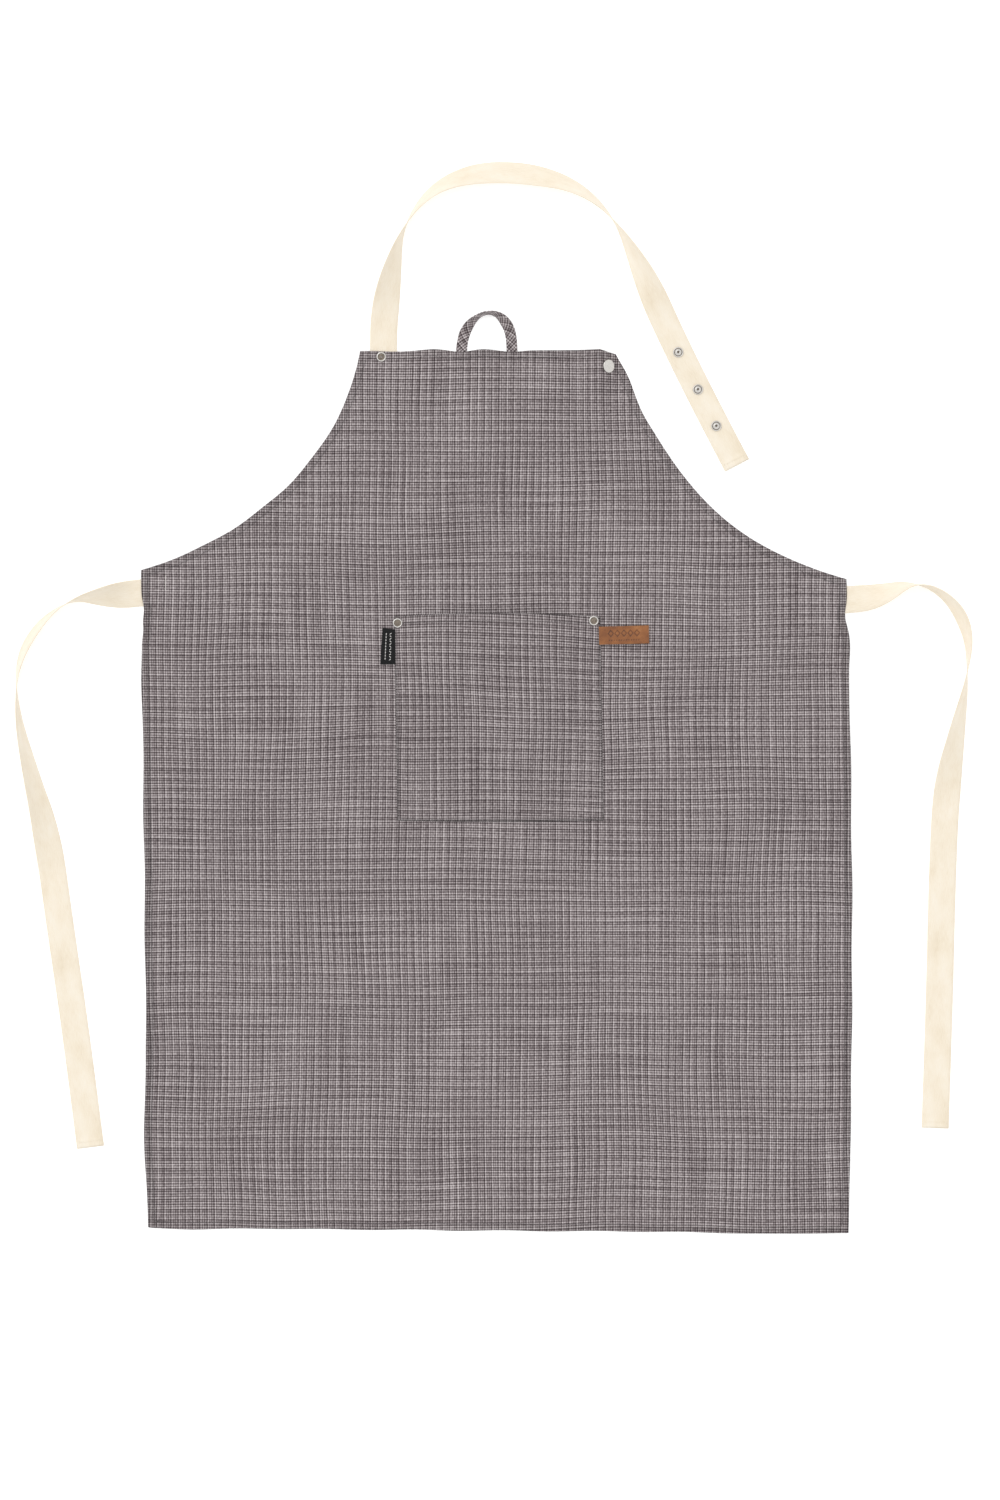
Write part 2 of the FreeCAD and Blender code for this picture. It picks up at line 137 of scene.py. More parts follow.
class Finish:
    """A material and short calls for the nodes that it is made of."""

    def __init__(self, name, **surface):
        self.material = bpy.data.materials.new(name)
        self.material.use_nodes = True
        self.tree = self.material.node_tree
        self.shader = self.tree.nodes["Principled BSDF"]
        for socket, value in surface.items():
            self.shader.inputs[socket.replace("_", " ")].default_value = value

    def feed(self, socket, value):
        if isinstance(value, bpy.types.NodeSocket):
            self.tree.links.new(value, socket)
        else:
            socket.default_value = value

    def node(self, kind, *values, **settings):
        made = self.tree.nodes.new("ShaderNode" + kind)
        for name, value in settings.items():
            setattr(made, name, value)
        for socket, value in zip(made.inputs, values):
            if value is not None:
                self.feed(socket, value)
        return made

    def sum(self, a, b):
        return self.node("Math", a, b, operation="ADD").outputs[0]

    def times(self, a, b):
        return self.node("Math", a, b, operation="MULTIPLY").outputs[0]

    def wave(self, value, pitch):
        """A sine from -1 to 1 that repeats every pitch."""
        return self.node("Math", self.times(value, 2 * math.pi / pitch), operation="SINE").outputs[0]

    def flat(self):
        """Where a point lies on the cloth before it is folded, in metres, along and across."""
        parts = self.node("SeparateXYZ", self.node("UVMap", uv_map="flat").outputs[0])
        return parts.outputs[0], parts.outputs[1]

    def noise(self, x, y, x_size, y_size, seed=0.0, detail=1.0):
        at = self.node("CombineXYZ", self.times(x, 1 / x_size), self.times(y, 1 / y_size), seed)
        return self.noise_at(at.outputs[0], 1.0, detail)

    def solid_noise(self, size, detail=2.0):
        return self.noise_at(self.node("TexCoord").outputs["Object"], 1 / size, detail)

    def noise_at(self, place, scale, detail):
        made = self.node("TexNoise", place)
        made.inputs["Scale"].default_value = scale
        made.inputs["Detail"].default_value = detail
        return made.outputs[0]

    def ramp(self, value, *stops):
        made = self.node("ValToRGB", value)
        elements = made.color_ramp.elements
        while len(elements) < len(stops):
            elements.new(0.5)
        for element, (place, colour) in zip(elements, stops):
            element.position = place
            element.color = (*colour, 1)
        return made.outputs[0]

    def level_ramp(self, value, light, *stops):
        """A ramp through colours that are given as levels of 0 to 255."""
        return self.ramp(value, *((place, from_srgb(*levels, light=light)) for place, levels in stops))

    def colour(self, value):
        self.feed(self.shader.inputs["Base Color"], value)

    def bump(self, height, distance, strength=1.0):
        made = self.node("Bump")
        made.inputs["Strength"].default_value = strength
        made.inputs["Distance"].default_value = distance
        self.feed(made.inputs["Height"], height)
        self.feed(self.shader.inputs["Normal"], made.outputs[0])


# The studio light is a little more than full white, so each material's levels are brought down by a share.
CREAM_LIGHT = 0.86
LEATHER_LIGHT = 0.6
THREAD_LIGHT = 0.75


def from_srgb(*levels, light=1.0):
    """A linear colour from levels of 0 to 255."""
    return tuple(light * (level / 255) ** 2.2 for level in levels)


def checked_cloth(name, light):
    """A plain weave with light and dark yarns in both directions, which repeat every few yarns."""
    made = Finish(name, Roughness=0.92, Sheen_Weight=0.12, Sheen_Roughness=0.5)
    along, across = made.flat()
    x = made.sum(along, made.times(made.noise(along, across, 160 * MM, 160 * MM, 21.0), 9 * MM))
    y = made.sum(across, made.times(made.noise(along, across, 180 * MM, 180 * MM, 33.0), 10 * MM))
    yarns = (
        (x, 6.97 * MM, 0.085), (x, 3.485 * MM, 0.075), (x, 2.323 * MM, 0.150),
        (y, 10.04 * MM, 0.055), (y, 5.02 * MM, 0.055), (y, 2.51 * MM, 0.215),
    )
    uneven = (
        (made.noise(x, y, 1.25 * MM, 110 * MM), 0.50),
        (made.noise(x, y, 90 * MM, 1.25 * MM, 7.0), 0.45),
        (made.noise(x, y, 1.3 * MM, 3.2 * MM, 13.0), 0.55),
        (made.noise(x, y, 80 * MM, 80 * MM, 5.0, 2.0), 0.10),
    )
    tone = 0.5 - 0.5 * sum(strength for _, strength in uneven)
    for value, pitch, strength in yarns:
        tone = made.sum(made.times(made.wave(value, pitch), strength), tone)
    for value, strength in uneven:
        tone = made.sum(made.times(value, strength), tone)
    weave = made.times(made.wave(along, 0.9 * MM), made.wave(across, 0.9 * MM))
    tone = made.sum(made.times(weave, 0.07), tone)
    stops = (
        (0.02, (48, 37, 40)), (0.34, (102, 91, 93)), (0.50, (134, 124, 125)), (0.66, (168, 158, 159)),
        (0.98, (230, 221, 221)),
    )
    yarn = made.level_ramp(tone, light, *stops)
    # The painted shade attribute darkens the yarn colour along hems, seams and pocket edges, where shade falls.
    painted_shade = made.node("Attribute", attribute_name="painted_shade").outputs["Fac"]
    lit = made.sum(1.0, made.times(painted_shade, -0.55))
    made.colour(made.node("VectorMath", yarn, None, None, lit, operation="SCALE").outputs[0])
    made.bump(made.sum(made.times(weave, 0.4), tone), 0.12 * MM, 0.7)
    return made.material


def twill_tape():
    """Undyed cotton with fine slanting ribs."""
    made = Finish("twill_tape", Roughness=0.88, Sheen_Weight=0.2, Sheen_Roughness=0.4)
    along, across = made.flat()
    rib = made.wave(made.sum(along, across), 1.1 * MM)
    fibre = made.noise(along, across, 6 * MM, 0.5 * MM, 2.0, 2.0)
    cloud = made.noise(along, across, 30 * MM, 14 * MM, 4.0, 2.0)
    tone = made.sum(made.times(rib, 0.05), made.sum(made.times(fibre, 0.35), made.times(cloud, 0.45)))
    stops = ((0.20, (233, 217, 190)), (0.40, (247, 235, 214)), (0.60, (251, 243, 228)))
    made.colour(made.level_ramp(tone, CREAM_LIGHT, *stops))
    made.bump(made.sum(made.times(rib, 0.5), fibre), 0.10 * MM, 0.6)
    return made.material


def plain_thread(name, colour):
    made = Finish(name, Roughness=0.6, Sheen_Weight=0.3)
    twist = made.solid_noise(0.25 * MM)
    darker = tuple(0.75 * level for level in colour)
    made.colour(made.ramp(twist, (0.35, darker), (0.65, colour)))
    made.bump(twist, 0.05 * MM)
    return made.material


def label_satin():
    made = Finish("label_satin", Roughness=0.5, Specular_IOR_Level=0.15)
    along, across = made.flat()
    rib = made.wave(along, 0.45 * MM)
    float_yarn = made.noise(along, across, 0.5 * MM, 3 * MM, 1.0)
    tone = made.sum(made.times(rib, 0.12), float_yarn)
    made.colour(made.ramp(tone, (0.3, (0.002, 0.002, 0.002)), (0.7, (0.011, 0.011, 0.012))))
    made.bump(tone, 0.06 * MM, 0.8)
    return made.material


def tan_leather():
    """Smooth tanned leather, darker where it is pressed in and lighter at its cut edges."""
    made = Finish("tan_leather", Roughness=0.55, Coat_Weight=0.08, Coat_Roughness=0.4)
    depth = made.node("Attribute", attribute_name="pressed").outputs["Fac"]
    grain = made.solid_noise(0.6 * MM, 4.0)
    cloud = made.solid_noise(9 * MM)
    tone = made.sum(made.times(grain, 0.35), made.times(cloud, 0.65))
    tone = made.sum(tone, made.times(depth, -0.3))
    stops = ((0.15, (92, 50, 22)), (0.42, (150, 88, 40)), (0.62, (180, 112, 56)), (0.9, (222, 172, 116)))
    made.colour(made.level_ramp(tone, LEATHER_LIGHT, *stops))
    made.bump(grain, 0.12 * MM, 0.6)
    return made.material


def metal(name, colour, roughness, wear):
    """Plated metal with fine turning marks and a few duller patches."""
    made = Finish(name, Metallic=1.0, Roughness=roughness)
    patch = made.solid_noise(1.6 * MM, 3.0)
    dull = tuple(wear * level for level in colour)
    made.colour(made.ramp(patch, (0.35, dull), (0.62, colour)))
    fine = made.solid_noise(0.12 * MM)
    rough = made.sum(made.times(patch, 0.2), roughness - 0.08)
    made.feed(made.shader.inputs["Roughness"], rough)
    made.bump(fine, 0.012 * MM, 0.5)
    return made.material


def pale_floor():
    """A light table: its own glow keeps soft shadows nearly white."""
    made = Finish("pale_floor", Roughness=0.9, Emission_Strength=0.22)
    cloud = made.solid_noise(0.4, 1.0)
    made.colour(made.ramp(cloud, (0.3, (0.95, 0.95, 0.95)), (0.7, (0.97, 0.97, 0.97))))
    return made.material


CLOTH_FINISH = checked_cloth("checked_cloth", 0.70)
# The pocket's copy of the cloth is set a little darker than the body's, as painted shade over the pocket.
SHADED_POCKET_FINISH = checked_cloth("pocket_cloth_shaded", 0.67)
TAPE_FINISH = twill_tape()
# The hem thread: the thread's own grey, darkened further as painted shade along the stitch rows at the pocket's
# edges and hems.
SHADED_HEM_THREAD = plain_thread("hem_thread_shaded", from_srgb(122, 113, 115, light=THREAD_LIGHT))
WHITE_THREAD = plain_thread("white_thread", from_srgb(238, 234, 228))
LABEL_THREAD = plain_thread("label_thread", from_srgb(205, 203, 200))
DARK_THREAD = plain_thread("dark_thread", from_srgb(74, 66, 68))
CREAM_THREAD = plain_thread("cream_thread", from_srgb(246, 236, 214))
SATIN = label_satin()
LEATHER = tan_leather()
NICKEL = metal("nickel", (0.66, 0.64, 0.61), 0.28, 0.92)
# A darker metal for the hollows of the rings and studs: painted shade and dark reflection.
HOLLOW_SHADE_NICKEL = metal("hollow_shade_nickel", (0.27, 0.23, 0.19), 0.5, 0.6)
SPRING_STEEL = metal("spring_steel", (0.5, 0.5, 0.5), 0.35, 0.8)


# ---- meshes


def piece(name, points, faces, materials, flat=None, face_materials=None, painted_shade=None, thick=0.0):
    """A smooth mesh. flat gives each point's place on the cloth before it is folded, the painted shade how much
    darker it is painted at hems, seams and pocket edges, where shade falls, and thick a sheet's thickness, behind
    the points."""
    mesh = bpy.data.meshes.new(name)
    mesh.from_pydata([tuple(map(float, p)) for p in points], [], [tuple(map(int, face)) for face in faces])
    for material in materials:
        mesh.materials.append(material)
    mesh.polygons.foreach_set("use_smooth", [True] * len(mesh.polygons))
    if face_materials is not None:
        mesh.polygons.foreach_set("material_index", face_materials)
    if flat is not None:
        layer = mesh.uv_layers.new(name="flat")
        corners = np.zeros(len(mesh.loops), int)
        mesh.loops.foreach_get("vertex_index", corners)
        layer.data.foreach_set("uv", np.asarray(flat, float)[corners].ravel())
    if painted_shade is not None:
        layer = mesh.attributes.new("painted_shade", "FLOAT", "POINT")
        layer.data.foreach_set("value", np.asarray(painted_shade, np.float32))
    mesh.validate()
    made = bpy.data.objects.new(name, mesh)
    bpy.context.scene.collection.objects.link(made)
    if thick:
        solidify = made.modifiers.new("thickness", "SOLIDIFY")
        solidify.thickness = thick
        solidify.offset = -1
        filled = bpy.data.meshes.new_from_object(made.evaluated_get(bpy.context.evaluated_depsgraph_get()))
        made.modifiers.clear()
        made.data = filled
        bpy.data.meshes.remove(mesh)
        filled.name = name
    return made


def strip_faces(rows, columns, closed=False):
    """Quads over a grid of points that is numbered row by row. Where closed, the last column joins the first."""
    faces = []
    for row in range(rows - 1):
        for column in range(columns if closed else columns - 1):
            beside = (column + 1) % columns
            here, above = row * columns, (row + 1) * columns
            faces.append((here + column, here + beside, above + beside, above + column))
    return faces


def grid(columns, rows):
    """The column's value and the row's value of each point of a grid, row by row."""
    return (values.ravel() for values in np.meshgrid(columns, rows))


def eased(value, low, high):
    """From 0 at low to 1 at high, level at both ends."""
    share = np.clip((np.asarray(value, float) - low) / (high - low), 0, 1)
    return share * share * (3 - 2 * share)


def bell(value, middle, reach):
    """1 at the middle, falling softly to 0 on both sides."""
    return np.exp(-(((value - middle) / reach) ** 2))


def between(value, low, high, margin):
    """1 from low to high, falling softly to 0 a margin beyond them."""
    return eased(value, low - margin, low) * eased(-value, -high - margin, -high)


def distances(line):
    """How far along a line each of its points is."""
    return np.concatenate(([0], np.cumsum(np.linalg.norm(np.diff(line, axis=0), axis=1))))


def unit(vectors):
    return vectors / np.linalg.norm(vectors, axis=-1)[..., None]


# ---- tapes


def smooth_line(route, step):
    """Evenly spaced points along the NURBS line whose control points are a route's."""
    curve = bpy.data.curves.new("route", "CURVE")
    curve.dimensions = "3D"
    spline = curve.splines.new("NURBS")
    spline.points.add(len(route) - 1)
    for control, (x, y) in zip(spline.points, route):
        control.co = (x, y, 0, 1)
    spline.order_u = 3
    spline.use_endpoint_u = True
    spline.resolution_u = 24
    holder = bpy.data.objects.new("route", curve)
    read = bpy.data.meshes.new_from_object(holder)
    line = np.array([vertex.co[:2] for vertex in read.vertices])
    bpy.data.meshes.remove(read)
    bpy.data.objects.remove(holder)
    bpy.data.curves.remove(curve)
    distance = distances(line)
    count = math.ceil(distance[-1] / step) + 1
    even = np.linspace(0, distance[-1], count)
    points = np.column_stack([np.interp(even, distance, line[:, axis]) for axis in (0, 1)])
    return points, even


def soft_lean(leans, even, reach):
    """The lean at each distance, in radians, with its changes spread over a reach."""
    places, angles = zip(*leans)
    raw = np.interp(even, places, np.radians(angles))
    half = max(1, round(reach / (even[1] - even[0]) / 2))
    window = np.hanning(2 * half + 3)[1:-1]
    padded = np.concatenate((np.full(half, raw[0]), raw, np.full(half, raw[-1])))
    return np.convolve(padded, window / window.sum(), mode="valid")


def ribbon(name, route, leans, width, lean_reach, material, end_hem, bias=False, step=2.0 * MM):
    """A tape along a route, whose lower edge stays on the surface that it lies on. Also gives its middle line, and
    the ways across it and out of its face."""
    columns = 9
    points, even = smooth_line(route, step)
    lean = soft_lean(leans, even, lean_reach)
    forward = unit(np.gradient(points, axis=0))
    left = np.column_stack((-forward[:, 1], forward[:, 0], np.zeros(len(points))))
    up = np.array((0, 0, 1.0))
    across = left * np.cos(lean)[:, None] + up * np.sin(lean)[:, None]
    through = up * np.cos(lean)[:, None] - left * np.sin(lean)[:, None]
    thickness = TAPE_FACE - TAPE_UNDERSIDE
    if end_hem:  # its free end is turned back by 8 mm and stands thicker
        thickness = thickness * (1 + 0.6 * eased(even, even[-1] - 8.5 * MM, even[-1] - 7.5 * MM))
    half_thick = np.broadcast_to(thickness, even.shape) / 2
    height = TAPE_UNDERSIDE + np.abs(across[:, 2]) * width / 2 + np.abs(through[:, 2]) * half_thick
    centre = np.column_stack((points, height))

    share = np.linspace(-1, 1, columns)
    edge = half_thick[0] / (width / 2)
    upper = [(s * (1 - 0.5 * edge), 1.0 - 0.15 * abs(s) ** 6) for s in share]
    side = [(1.0, 0.45), (1.0, -0.45)]
    lower = [(s, -h) for s, h in reversed(upper)]
    section = upper + side + lower + [(-s, h) for s, h in reversed(side)]
    rows, flat = [], []
    for index in range(len(even)):
        for s, h in section:
            offset = across[index] * (s * width / 2) + through[index] * (h * half_thick[index])
            rows.append(centre[index] + offset)
            flat.append((even[index], s * width / 2))
    if bias:
        flat = [((u - v) * math.sqrt(0.5), (u + v) * math.sqrt(0.5)) for u, v in flat]
    around = len(section)
    faces = strip_faces(len(even), around, closed=True)
    last = (len(even) - 1) * around
    for start in (0, last):
        ring = [start + k for k in range(around)]
        pairs = [(ring[k], ring[k + 1], ring[-1 - k - 3], ring[-1 - k - 2]) for k in range(columns - 1)]
        cap = pairs + [
            (ring[columns - 1], ring[columns], ring[columns + 1], ring[columns + 2]),
            (ring[0], ring[-1], ring[-2], ring[-3]),
        ]
        faces += cap if start else [tuple(reversed(face)) for face in cap]
    made = piece(name, rows, [face[::-1] for face in faces], [material], flat)
    return made, centre, across, through


def fold_over(strip):
    """Bakes the tape's placing into its points."""
    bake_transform(strip)


# ---- the apron's surface


def bezier(points, count):
    """Points along a Bezier curve of any degree."""
    points = [np.array(p, float) for p in points]
    degree = len(points) - 1
    share = np.linspace(0, 1, count)[:, None]
    return sum(
        math.comb(degree, k) * (1 - share) ** (degree - k) * share**k * p for k, p in enumerate(points)
    )


def bowed(start, middle, end):
    """The control point that makes a quadratic curve pass through its middle point."""
    return tuple(2 * m - (s + e) / 2 for s, m, e in zip(start, middle, end))


OUTLINE = (
    (SKIRT_LEFT, SIDE_LEFT_TOP),
    (SIDE_LEFT_TOP, *LEFT_ARMHOLE, BIB_LEFT),
    (BIB_LEFT, BIB_CREASE),
    (BIB_CREASE, BIB_RIGHT),
    (BIB_RIGHT, *RIGHT_ARMHOLE, SIDE_RIGHT_TOP),
    (SIDE_RIGHT_TOP, bowed(SIDE_RIGHT_TOP, SIDE_RIGHT_MIDDLE, SKIRT_RIGHT), SKIRT_RIGHT),
    (SKIRT_RIGHT, bowed(SKIRT_RIGHT, SKIRT_MIDDLE, SKIRT_LEFT), SKIRT_LEFT),
)
LEFT_SIDE, TOP_SIDE, BIB_SIDE, RIGHT_SIDE, BOTTOM_SIDE = 0, 2, 4, 5, 6
X_AXIS, Y_AXIS = 0, 1
# Where an edge is pulled in or out: its side, the axis that it is pulled along, the axis that it runs along, and for
# each pull a place along it, how far, and its reach.
EDGE_WAVES = (
    (LEFT_SIDE, X_AXIS, Y_AXIS, (
        (0.1600, 2.4 * MM, 10 * MM), (0.1400, 1.4 * MM, 8 * MM), (0.0900, -0.8 * MM, 24 * MM),
        (-0.3550, -3.3 * MM, 46 * MM),
    )),
    (TOP_SIDE, Y_AXIS, X_AXIS, (
        (-0.0620, 1.5 * MM, 14 * MM), (-0.0346, -1.6 * MM, 10 * MM), (-0.0130, 1.2 * MM, 12 * MM),
        (0.0152, -1.7 * MM, 11 * MM), (-0.1000, -0.8 * MM, 16 * MM),
    )),
    (BIB_SIDE, X_AXIS, Y_AXIS, ((0.3890, 3.0 * MM, 19 * MM), (0.3500, -0.9 * MM, 14 * MM))),
    (RIGHT_SIDE, X_AXIS, Y_AXIS, ((0.1540, -2.6 * MM, 11 * MM), (0.1250, 1.6 * MM, 16 * MM))),
    (BOTTOM_SIDE, Y_AXIS, X_AXIS, ((0.2700, -1.7 * MM, 80 * MM), (-0.3000, -1.6 * MM, 34 * MM))),
)
EDGE_STEP = 4.0 * MM


def outline_sides():
    """Points along each side of the outline, which runs clockwise seen from the front."""
    sides = []
    for index, controls in enumerate(OUTLINE):
        rough = bezier(controls, 50)
        length = np.linalg.norm(np.diff(rough, axis=0), axis=1).sum()
        side = bezier(controls, max(4, round(length / EDGE_STEP)) + 1)
        if length > 0.3:  # only the long sides waver
            wave = 0.5 * MM * np.sin(np.pi * np.linspace(0, 1, len(side))) * np.sin(side @ (71.0, 53.0) + index)
            tangent = unit(np.gradient(side, axis=0))
            side += wave[:, None] * np.column_stack((tangent[:, 1], -tangent[:, 0]))
        for which, moved, by, waves in EDGE_WAVES:
            for centre, push, reach in waves if which == index else ():
                side[:, moved] += push * bell(side[:, by], centre, reach)
        sides.append(side)
    return sides


def inset_ring(sides, inset):
    """The outline moved inwards by a distance, its corners mitred. The last point of a side is the next's first."""
    reach = 50 * MM
    ring = []
    for index, side in enumerate(sides):
        before, after = sides[index - 1], sides[(index + 1) % len(sides)]
        tangent = unit(np.gradient(side, axis=0))
        start_turn = turn(before[-1] - before[-2], side[1] - side[0])
        end_turn = turn(side[-1] - side[-2], after[1] - after[0])
        distance = distances(side)
        near = min(reach, distance[-1])
        from_start = np.clip(1 - distance / near, 0, 1) * math.tan(start_turn / 2)
        from_end = np.clip(1 - (distance[-1] - distance) / near, 0, 1) * math.tan(end_turn / 2)
        inward = np.column_stack((tangent[:, 1], -tangent[:, 0]))
        moved = side + inset * (inward + tangent * (from_start - from_end)[:, None])
        ring.append(moved[:-1])
    return np.concatenate(ring)


def turn(before, after):
    """How far the way turns to the right, in radians."""
    return math.atan2(before[1], before[0]) - math.atan2(after[1], after[0])


SIDES = outline_sides()
EDGE = inset_ring(SIDES, 0.0)


def distance_to(points, line):
    """The distance from each point to an open line, and how far along it the nearest place is, from 0 to 1."""
    best = np.full(len(points), 1e9)
    along = np.zeros(len(points))
    lengths = np.linalg.norm(np.diff(line, axis=0), axis=1)
    starts = distances(line)
    for index, length in enumerate(lengths):
        way = (line[index + 1] - line[index]) / length
        reach = np.clip((points - line[index]) @ way, 0, length)
        gap = np.linalg.norm(points - line[index] - reach[:, None] * way, axis=1)
        closer = gap < best
        best = np.where(closer, gap, best)
        along = np.where(closer, (starts[index] + reach) / starts[-1], along)
    return best, along


# Faint folds where the cloth lies uneven: a line, its depth and its half width. A fold with a depth is a crease
# between two low shoulders, and one whose depth is negative stands up.
FOLDS = (
    (((0.104, -0.055), (0.104, -0.223), (0.077, -0.272), (0.052, -0.390)), 1.7 * MM, 7 * MM),
    (((0.221, -0.120), (0.224, -0.250), (0.219, -0.392)), 1.8 * MM, 8 * MM),
    (((0.250, 0.136), (0.283, 0.040), (0.329, -0.112)), 2.0 * MM, 8 * MM),
    (((-0.095, -0.055), (-0.093, -0.160), (-0.098, -0.250)), 1.2 * MM, 7 * MM),
    (((0.030, 0.399), (0.060, 0.381), (0.102, 0.376)), -0.8 * MM, 6 * MM),
    (((0.107, 0.372), (0.128, 0.338), (0.150, 0.300)), -0.7 * MM, 5 * MM),
    (((-0.325, -0.425), (-0.296, -0.388), (-0.268, -0.362)), -0.8 * MM, 6 * MM),
    (((-0.300, -0.438), (-0.270, -0.405), (-0.235, -0.385)), -0.7 * MM, 6 * MM),
    (((-0.336, -0.385), (-0.310, -0.352), (-0.300, -0.320)), -0.6 * MM, 6 * MM),
    (((-0.160, 0.285), (-0.130, 0.230), (-0.118, 0.180)), 1.0 * MM, 8 * MM),
    (((-0.040, -0.260), (-0.035, -0.330), (-0.050, -0.400)), -0.5 * MM, 16 * MM),
)
FLAT_PLACES = (
    "pocket_rivet_left_ring", "pocket_rivet_right_ring", "strap_rivet_ring", "bib_snap_cap", "woven_label",
    "leather_label",
)


def middle_of(node):
    low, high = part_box(node)
    return (low + high) / 2


def relief(points):
    """How far the cloth stands above or below its plain height, from its faint folds and waves."""
    x, y = points[:, 0], points[:, 1]
    height = 0.35 * MM * np.sin(x * 23 + 0.7 * np.sin(y * 11)) * np.cos(y * 17 + 0.4)
    height += 0.20 * MM * np.sin(x * 41 - y * 29 + 1.3)
    for line, depth, half_width in FOLDS:
        gap, along = distance_to(points, np.array(line))
        ends = eased(along, 0, 0.25) * eased(1 - along, 0, 0.25)
        shoulders = bell(gap, 0, 2.2 * half_width) if depth > 0 else 0
        height += depth * ends * (shoulders - bell(gap, 0, half_width))
    for node in FLAT_PLACES:
        gap = np.linalg.norm(points - np.array(middle_of(node)[:2]), axis=1)
        height *= eased(gap, 10 * MM, 26 * MM)
    return height + puckers(x - SNAP_AT[0], y - SNAP_AT[1])


def puckers(x, y):
    """Short folds round the snap, where it pulls the cloth together."""
    near = bell(np.hypot(x, y), 10.5 * MM, 3.6 * MM)
    return 0.3 * MM * near * np.sin(6 * np.arctan2(y, x) + 0.8)


def curl(points):
    """The bib's right corner, creased so that its end slopes down to the table."""
    x, y = points[:, 0], points[:, 1]
    ridge = 1.5 * MM  # the crease is a narrow bend and not a knife edge
    rise = CURL_RISE * (x - CURL_START) / (CURL_RIDGE - CURL_START)
    fall = np.maximum(CURL_RISE - CURL_SLOPE * (x - CURL_RIDGE), -CURL_DROP)
    lower = np.minimum(rise, fall) - np.maximum(ridge - np.abs(rise - fall), 0) ** 2 / (4 * ridge)
    share = eased(y, CURL_FLAT_BELOW, CURL_FULL_FROM)
    return share * np.where(x > CURL_START, lower, 0)


def tape_below(points):
    """1 where a tape's sewn end or the loop's passes behind the cloth, and 0 away from it."""
    margin = 4 * MM
    x, y = points[:, 0], points[:, 1]
    share = np.zeros(len(points))
    for node in ("left_tie_sewn_end", "right_tie_sewn_end", "neck_strap_sewn_end", "hanging_loop_sewn_ends"):
        low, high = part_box(node)
        share = np.maximum(share, between(x, low.x, high.x, margin) * between(y, low.y, high.y, margin))
    return share


def cloth_face(points):
    """The height of the apron's front away from its hems."""
    points = np.atleast_2d(np.asarray(points, float))
    plain = OPEN_FACE + relief(points) + curl(points)
    return plain + tape_below(points) * np.maximum(TAPE_FACE + 0.45 * MM - plain, 0)


def hem_floor(points):
    """The underside of a hem, which lies on the surface below, or on a tape where one passes behind it."""
    return 0.25 * MM + (TAPE_FACE - 0.15 * MM) * tape_below(points) + np.maximum(curl(points), 0)


def hem_face(points, inset):
    """The height of the apron's front at a distance from its edge."""
    step = eased(inset, HEM_WIDTH - 0.3 * MM, HEM_WIDTH + 1.6 * MM)
    groove = bell(inset, HEM_ROW, 0.9 * MM)
    return cloth_face(points) + HEM_STEP * (1 - step) - 0.18 * MM * groove


def lattice(low, high, spacing):
    """Points of a triangular lattice over a box."""
    rows = np.arange(low[1], high[1], spacing * math.sqrt(0.75))
    found = []
    for index, y in enumerate(rows):
        xs = np.arange(low[0] + (index % 2) * spacing / 2, high[0], spacing)
        found.append(np.column_stack((xs, np.full(len(xs), y))))
    return np.concatenate(found)


def inside(points, ring):
    """Which points lie within a closed ring, by how often a line to the right crosses it."""
    crossed = np.zeros(len(points), bool)
    for (x1, y1), (x2, y2) in zip(ring, np.roll(ring, -1, axis=0)):
        if y1 != y2:
            spans = (points[:, 1] > min(y1, y2)) & (points[:, 1] <= max(y1, y2))
            at = x1 + (points[:, 1] - y1) * (x2 - x1) / (y2 - y1)
            crossed ^= spans & (points[:, 0] < at)
    return crossed


